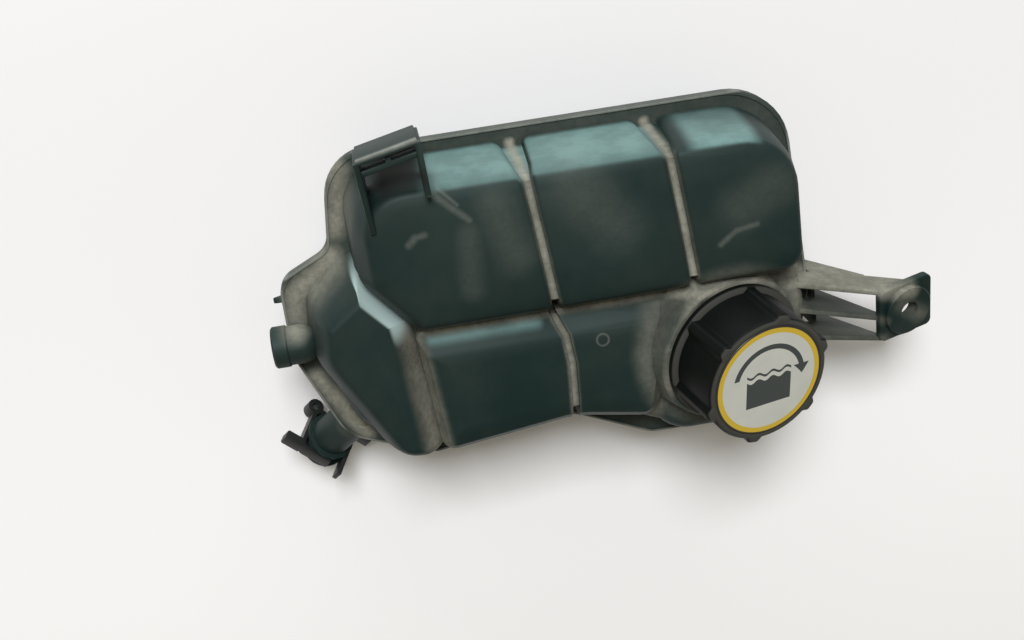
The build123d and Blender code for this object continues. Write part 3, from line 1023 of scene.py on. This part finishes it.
# Where dust, wear, painted sheen and painted shade lie: lines in plan, each with the width over which it
# thins out
groove_dust = [
    ((10.0, 83.0), (17.2, 13.0), 3.1),
    ((70.0, 83.0), (77.2, 13.0), 3.1),
    ((9.2, 82.5), (10.3, 78.0), 3.8),
    ((69.2, 82.5), (70.3, 78.0), 3.8),
    ((14.5, 14.0), (19.5, 3.0), 3.2),
    ((19.5, 3.0), (20.4, -10.0), 3.2),
    ((20.4, -10.0), (19.0, -44.0), 3.2),
    ((-44.0, 14.0), (126.0, 14.0), 4.2),
    ((-45.5, 6.0), (-41.0, -46.0), 8.0),
]
ledge_dust = [
    ((-46.5, 12.0), (-42.0, -46.0), 8.5),
    ((-96.0, 20.0), (-94.0, 30.0), 10.0),
    ((-94.0, 30.0), (-76.0, 45.0), 10.0),
    ((-92.0, -10.0), (-74.0, -42.0), 7.0),
    ((-72.0, 56.0), (-66.0, 82.0), 9.0),
]
shelf_dust = [
    ((76.0, 14.0), (64.0, -8.0), 6.0),
    ((64.0, -8.0), (57.0, -46.0), 7.0),
    ((80.0, 16.0), (128.0, 10.0), 9.0),
    ((124.0, 4.0), (131.0, -16.0), 9.0),
    ((120.0, 5.0), (148.0, -3.0), 7.0),
]
bracket_film = [
    ((124.0, -8.5), (166.0, -21.0), 4.0),
    ((124.0, -22.0), (166.0, -31.5), 5.0),
    ((174.0, -14.0), (184.0, -22.0), 7.0),
]
web_film = [((124.0, 4.0), (178.0, -8.5), 7.0)]
# Painted shade: the inside of the hose holder's pocket is darkened where shade falls
pocket_painted_shade = [((-47.0, 83.0), (-34.0, 86.0), 8.0)]
# Painted sheen: a pale teal on the upper row's back walls and the lower row's back bevel stands in for the
# light they reflect
back_painted_sheen = [
    ((-26.0, 82.0), (64.0, 82.0), 10.0),
    ((84.0, 80.0), (104.0, 79.0), 8.0),
    ((-38.0, 10.0), (8.0, 10.0), 4.0),
]
# Painted sheen: a pale band on the leaf's edge towards the upper row stands in for the light it reflects
leaf_painted_sheen = [((-64.0, 38.0), (-50.0, 18.0), 9.0)]
wear_lines = [
    ((-29.0, 77.5), (-15.0, 64.0), 2.4),
    ((-26.0, 79.0), (-19.0, 71.0), 1.3),
    ((-41.0, 57.4), (-38.0, 60.2), 2.6),
    ((-38.0, 60.2), (-34.0, 60.8), 2.2),
    ((88.0, 36.0), (95.0, 41.0), 2.2),
    ((95.0, 41.0), (104.0, 42.5), 2.4),
]
stain_lines = [
    ((-16.0, 58.0), (-18.0, 34.0), 8.0),
    ((98.0, 50.0), (114.0, 58.0), 15.0),
    ((30.0, 70.0), (44.0, 52.0), 20.0),
    ((-4.0, 70.0), (2.0, 46.0), 13.0),
]
holder_wear = [((-57.5, 97.5), (-31.0, 102.6), 2.2)]
ring_mark = (34.9, -1.0)
ring_mark_radius = 2.6
ring_mark_line = 0.8
neck_dust_radius = boss_radius + 3.5
neck_dust_width = 9.0
lip_corners = [corner for corner, _ in inset_plan(wall_plan, [lip_width / 2 - flange_width] * len(wall_plan))]
lip_wear = [(start, end, 0.9) for start, end in zip(lip_corners, lip_corners[1:] + lip_corners[:1])]

# Heights from the weld between which each of them goes from full to none
# The first pair is for the painted sheen, which stands in for reflected light
painted_sheen_heights = (10.0, 4.0)
film_heights_above = (3.5, 8.0)
film_heights_below = (-3.0, -6.0)
lip_wear_heights = (5.0, 6.5)
holder_wear_heights = (holder_top - 0.6, holder_top - 5.0)

# Ways that the faces with a painted sheen look: the upper row's back and the leaf's edge towards it
back_way = (0.25, 0.97, 0.0)
leaf_way = (0.83, 0.56, 0.0)

# Tones of the shells
shell_tones = (colour(0.0026, 0.0115, 0.0105), colour(0.006, 0.0205, 0.019))
dust_tones = (colour(0.17, 0.155, 0.12), colour(0.37, 0.37, 0.315))
# Painted sheen tones: pale teals that stand in for reflected light
back_painted_sheen_tone = colour(0.14, 0.245, 0.24)
# The painted sheen tone of the leaf's edge
leaf_painted_sheen_tone = colour(0.48, 0.62, 0.61)
wear_tone = colour(0.2, 0.21, 0.19)
# The painted shade tone of the hose holder's pocket
pocket_shade_tone = colour(0.006, 0.004, 0.003)
grain_depth = 0.2

# Print on the label: a turn arrow over a filled tank
arrow_radius = 16.5
arrow_line = 1.2
arrow_foot = 4.0
arrow_head = 5.0
wave_rate = 0.9
wave_height = 0.8
wave_gap = 2.6
wave_line = 0.6
pool_top = 1.5
pool_middle = -4.0
pool_half = 7.5
pool_reach = 11.0
arrow_taper = 0.75
yellow_ring_radius = 22.9
dark_edge_radius = 25.2
print_tone = colour(0.05, 0.06, 0.06)
yellow_tone = colour(0.6, 0.42, 0.04)
dark_edge_tone = colour(0.03, 0.03, 0.028)


def strongest(tree, *pairs):
    """The greatest of several masks, each with its strength."""
    result = 0.0
    for mask, strength in pairs:
        result = reckon(tree, "MAXIMUM", result, reckon(tree, "MULTIPLY", mask, strength))
    return result


def shell_plastic():
    """Black moulded plastic: dust in its grooves and on its ledges, back faces and the leaf's edge paled by a
    painted sheen, painted shade in the hose holder's pocket, and wear.
    """
    material, tree, shader = new_material("shell_plastic")
    place = piece_place(tree)
    height = put(tree, "SeparateXYZ", {0: place}).outputs["Z"]

    def fade_height(heights):
        full, none = heights
        return fade(tree, height, weld + full * MM, weld + none * MM)

    tone = noise(tree, place, 22.0)
    plain = mix_colour(tree, tone, *shell_tones)
    fine = noise(tree, place, 420.0, 4.0, 0.7)
    patch = noise(tree, place, 60.0, 5.0, 0.65)
    broken = fade(tree, patch, 0.66, 0.36)

    # Painted sheen: faces turned to the back are paled as if they reflected the light
    painted_sheen = fade(tree, facing(tree, back_way), 0.72, 0.3)
    painted_sheen = reckon(tree, "MULTIPLY", near_lines(tree, back_painted_sheen), painted_sheen)
    painted_sheen = reckon(tree, "MULTIPLY", painted_sheen, fade_height(painted_sheen_heights))
    painted_sheen = reckon(tree, "MULTIPLY", painted_sheen, reckon(tree, "ADD", reckon(tree, "MULTIPLY", broken, 0.3), 0.7))
    pale = mix_colour(tree, painted_sheen, plain, back_painted_sheen_tone)
    # Painted sheen on the leaf's edge towards the upper row
    leaf_painted_light = fade(tree, facing(tree, leaf_way), 0.6, 0.2)
    leaf_painted_light = reckon(tree, "MULTIPLY", near_lines(tree, leaf_painted_sheen), leaf_painted_light)
    pale = mix_colour(tree, leaf_painted_light, pale, leaf_painted_sheen_tone)

    flange_film = reckon(tree, "MULTIPLY", fade_height(film_heights_above), fade_height(film_heights_below))
    neck_ring = near_circle(tree, neck.translation, upright, neck_dust_radius, neck_dust_width)
    cover = strongest(
        tree,
        (near_lines(tree, groove_dust), 1.0),
        (near_lines(tree, ledge_dust), 0.95),
        (near_lines(tree, shelf_dust), 0.66),
        (near_lines(tree, bracket_film), 0.34),
        (near_lines(tree, web_film), 0.95),
        (neck_ring, 0.36),
        (flange_film, 0.14),
    )
    speckle = reckon(tree, "ADD", reckon(tree, "MULTIPLY", broken, 0.22), reckon(tree, "MULTIPLY", fine, 0.9))
    speckle = reckon(tree, "ADD", speckle, 0.24)
    dust = reckon(tree, "MULTIPLY", cover, speckle, clamp=True)
    dust_and_light_film = reckon(tree, "MULTIPLY", fade(tree, noise(tree, place, 9.0, 5.0, 0.65), 0.62, 0.4), 0.035)
    dust = reckon(tree, "ADD", dust, dust_and_light_film, clamp=True)
    dusty = mix_colour(tree, dust, pale, mix_colour(tree, patch, *dust_tones))

    lip = reckon(tree, "MULTIPLY", near_lines(tree, lip_wear), fade_height(lip_wear_heights))
    holder_edge = reckon(tree, "MULTIPLY", near_lines(tree, holder_wear), fade_height(holder_wear_heights))
    mark = near_circle(tree, datum_place(*ring_mark), (0, 0, 1), ring_mark_radius, ring_mark_line)
    wear = strongest(
        tree,
        (near_lines(tree, wear_lines), 0.3),
        (near_lines(tree, stain_lines), 0.16),
        (lip, 0.9),
        (holder_edge, 1.0),
        (mark, 0.4),
    )
    wear = reckon(tree, "MULTIPLY", wear, reckon(tree, "MULTIPLY", speckle, 1.1), clamp=True)
    worn = mix_colour(tree, wear, dusty, wear_tone)
    # Painted shade: the holder's pocket is darkened
    pocket_shade = reckon(tree, "MULTIPLY", near_lines(tree, pocket_painted_shade), 0.9)
    tree.links.new(mix_colour(tree, pocket_shade, worn, pocket_shade_tone), shader.inputs["Base Color"])

    shader.inputs["Specular Tint"].default_value = colour(0.82, 1.0, 0.98)
    shader.inputs["Specular IOR Level"].default_value = 0.3
    dull = reckon(tree, "MULTIPLY", reckon(tree, "MAXIMUM", dust, pocket_shade), 0.45)
    rough = reckon(tree, "ADD", rough_from(tree, tone, 0.1, 0.5), dull, clamp=True)
    tree.links.new(rough, shader.inputs["Roughness"])
    tree.links.new(grain_bump(tree, place, 1100.0, 0.12), shader.inputs["Normal"])
    return material


def plain_plastic(name, dark, light, rough, scale=60.0, shine=0.5, dust_and_light_film=None):
    """A moulded plastic of two close tones with a fine grain. A pale film may be painted on its upward faces,
    a painted reflection of the light.
    """
    material, tree, shader = new_material(name)
    shader.inputs["Specular IOR Level"].default_value = shine
    place = piece_place(tree)
    tone = noise(tree, place, scale)
    shade = mix_colour(tree, tone, dark, light)
    # Painted reflection: upward faces are paled as if they reflected the light
    if dust_and_light_film:
        shade = mix_colour(tree, fade(tree, facing(tree, upright), 0.95, 0.6), shade, dust_and_light_film)
    tree.links.new(shade, shader.inputs["Base Color"])
    tree.links.new(rough_from(tree, tone, 0.14, rough), shader.inputs["Roughness"])
    tree.links.new(grain_bump(tree, place, 1200.0, 0.1), shader.inputs["Normal"])
    return material


def metal(name, dark, light, rough):
    """A drawn or turned metal with faint tones."""
    material, tree, shader = new_material(name)
    tone = noise(tree, piece_place(tree), 300.0)
    tree.links.new(mix_colour(tree, tone, dark, light), shader.inputs["Base Color"])
    shader.inputs["Metallic"].default_value = 1.0
    tree.links.new(rough_from(tree, tone, 0.15, rough), shader.inputs["Roughness"])
    return material


def label_print():
    """The label: a pale disc with a turn arrow over a filled tank, a yellow ring and a thin dark edge."""
    material, tree, shader = new_material("label_print")
    place = piece_place(tree)
    tone = noise(tree, place, 90.0)
    pale = mix_colour(tree, tone, colour(0.5, 0.52, 0.48), colour(0.62, 0.63, 0.58))
    middle = neck @ Vector((0, 0, cover_face * MM))
    radius = radius_from(tree, middle, upright)
    off = vector(tree, "SUBTRACT", place, middle)
    aside = reckon(tree, "DIVIDE", vector(tree, "DOT_PRODUCT", off, along), MM)
    up = reckon(tree, "DIVIDE", vector(tree, "DOT_PRODUCT", off, across), MM)

    def within(value, reach):
        return reckon(tree, "LESS_THAN", reckon(tree, "ABSOLUTE", value), reach)

    wave = reckon(tree, "SINE", reckon(tree, "MULTIPLY", aside, wave_rate))
    swell = reckon(tree, "MULTIPLY", wave, wave_height)
    level = reckon(tree, "SUBTRACT", reckon(tree, "SUBTRACT", up, swell), pool_top)
    between_walls = within(aside, pool_reach)
    filled = within(reckon(tree, "SUBTRACT", up, pool_middle), pool_half)
    filled = reckon(tree, "MULTIPLY", filled, reckon(tree, "LESS_THAN", level, 0.0))
    crest = within(reckon(tree, "SUBTRACT", level, wave_gap), wave_line)
    pool = reckon(tree, "MULTIPLY", reckon(tree, "MAXIMUM", filled, crest), between_walls)
    from_arc = reckon(tree, "SUBTRACT", radius, arrow_radius)
    arc = reckon(tree, "MULTIPLY", within(from_arc, arrow_line), reckon(tree, "GREATER_THAN", up, arrow_foot))
    above_tip = reckon(tree, "ADD", reckon(tree, "SUBTRACT", up, arrow_foot), arrow_head)
    head_half = reckon(tree, "MULTIPLY", above_tip, arrow_taper)
    head = reckon(tree, "MULTIPLY", within(from_arc, head_half), reckon(tree, "LESS_THAN", up, arrow_foot))
    head = reckon(tree, "MULTIPLY", head, reckon(tree, "GREATER_THAN", aside, 0.0))
    printed = reckon(tree, "MAXIMUM", pool, reckon(tree, "MAXIMUM", arc, head))

    shade = mix_colour(tree, printed, pale, print_tone)
    shade = mix_colour(tree, reckon(tree, "GREATER_THAN", radius, yellow_ring_radius), shade, yellow_tone)
    shade = mix_colour(tree, reckon(tree, "GREATER_THAN", radius, dark_edge_radius), shade, dark_edge_tone)
    tree.links.new(shade, shader.inputs["Base Color"])
    tree.links.new(rough_from(tree, tone, 0.2, 0.25), shader.inputs["Roughness"])
    return material


def dress(piece, body, slot, material, *replaced):
    """Hangs a piece on its body in place of CAD nodes, with its material."""
    smooth(piece)
    piece.data.materials.clear()
    piece.data.materials.append(material)
    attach(piece, body)
    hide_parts(*replaced)


shell_material = shell_plastic()
cap_dark = colour(0.002, 0.003, 0.0026)
cap_light = colour(0.005, 0.0066, 0.006)
# Painted reflection on the cap's upward faces
cap_painted_reflection = colour(0.055, 0.055, 0.05)
cap_material = plain_plastic("cap_plastic", cap_dark, cap_light, 0.42, shine=0.12, dust_and_light_film=cap_painted_reflection)
clip_material = plain_plastic("clip_plastic", colour(0.01, 0.012, 0.012), colour(0.018, 0.021, 0.021), 0.4)
insert_dark = colour(0.045, 0.046, 0.048)
insert_light = colour(0.06, 0.06, 0.062)
insert_material = plain_plastic("insert_plastic", insert_dark, insert_light, 0.42)
rubber = plain_plastic("seal_rubber", colour(0.012, 0.012, 0.012), colour(0.02, 0.02, 0.02), 0.58)
steel = metal("spring_steel", colour(0.5, 0.5, 0.5), colour(0.62, 0.62, 0.61), 0.25)
brass = metal("valve_brass", colour(0.6, 0.46, 0.2), colour(0.72, 0.57, 0.27), 0.3)
label_material = label_print()

dress(upper_shell(), "tank", "shell", shell_material, "upper_shell")
dress(lower_shell(), "tank", "shell", shell_material, "lower_shell")
dress(outlet_clip(), "tank", "clip", clip_material, "outlet_clip")
dress(cap_cover(), "cover", "cap", cap_material, "cap_cover")
dress(cap_label(), "cover", "label", label_material, "cap_label")
dress(cap_insert(), "plug", "insert", insert_material, "cap_insert")
for ring_name in seal_heights:
    dress(o_ring(ring_name), "plug", "seal", rubber, ring_name)
for node_name, material in (
    ("pressure_seal", rubber),
    ("pressure_spring", steel),
    ("vacuum_spring", steel),
    ("spring_seat", insert_material),
    ("pressure_valve", brass),
    ("vacuum_valve", brass),
):
    nodes[node_name].data.materials.clear()
    nodes[node_name].data.materials.append(material)

# Camera, at the photo's angle
camera_place = Vector((-220.62, 240.33, 585.49)) * MM
camera_target = Vector((-178.0, 18.5, -24.0)) * MM
camera_right = Vector((0.98416, -0.13298, 0.11722))
back = (camera_place - camera_target).normalized()
right = (camera_right - back * camera_right.dot(back)).normalized()
turn = Matrix((right, back.cross(right), back)).transposed().to_4x4()
deselect()
bpy.ops.object.camera_add()
camera = bpy.context.object
camera.matrix_world = Matrix.Translation(camera_place) @ turn
camera.data.lens = 50.0
camera.data.sensor_width = 36.0
camera.data.clip_end = 10.0
bpy.context.scene.camera = camera

# Floor: a pale sheet. As it is seen, it is a little darker towards the back.
floor_size = 16.0
floor_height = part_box("lower_shell")[0].z
deselect()
bpy.ops.mesh.primitive_plane_add(size=floor_size, location=(camera_target.x, camera_target.y, floor_height))
floor = bpy.context.object
floor.name = "floor"
floor_paper, floor_tree, floor_shader = new_material("floor_paper")
floor_rays = put(floor_tree, "LightPath").outputs
floor_shine = reckon(floor_tree, "MAXIMUM", floor_rays["Is Glossy Ray"], floor_rays["Is Transmission Ray"])
floor_sight = reckon(floor_tree, "MAXIMUM", floor_rays["Is Camera Ray"], floor_shine)
floor_y = put(floor_tree, "SeparateXYZ", {0: piece_place(floor_tree)}).outputs["Y"]
floor_near = fade(floor_tree, floor_y, -0.16, 0.14)
floor_seen = mix_colour(floor_tree, floor_near, colour(0.88, 0.88, 0.9), colour(0.98, 0.98, 1.0))
floor_tone = mix_colour(floor_tree, floor_sight, colour(0.84, 0.84, 0.83), floor_seen)
floor_tree.links.new(floor_tone, floor_shader.inputs["Base Color"])
floor_shader.inputs["Roughness"].default_value = 0.9
floor_shader.inputs["Specular IOR Level"].default_value = 0.1
floor.data.materials.append(floor_paper)


def soft_light(name, place, width, height, radiance, tint):
    """A wide area light that faces the tank and isn't seen itself."""
    deselect()
    bpy.ops.object.light_add(type="AREA", location=place)
    light = bpy.context.object
    light.name = name
    light.data.shape = "RECTANGLE"
    light.data.size = width
    light.data.size_y = height
    light.data.energy = radiance * math.pi * width * height
    light.data.color = tint
    light.visible_camera = False
    light.rotation_euler = (camera_target - Vector(place)).to_track_quat("-Z", "Y").to_euler()
    return light


# Light: an even warm surround, a soft lamp high behind the tank, and a low wide window behind it
world = bpy.data.worlds.new("studio")
bpy.context.scene.world = world
world.use_nodes = True
world.node_tree.nodes["Background"].inputs["Color"].default_value = colour(1.0, 0.93, 0.76)
world.node_tree.nodes["Background"].inputs["Strength"].default_value = 0.26
soft_light("lamp", (-0.4, 1.6, 2.38), 0.9, 0.9, 28.0, (0.99, 0.99, 1.0))
soft_light("window", (-0.2, 4.4, 0.7), 5.0, 1.4, 3.5, (0.94, 1.0, 1.0))
bpy.context.scene.view_settings.view_transform = "Standard"
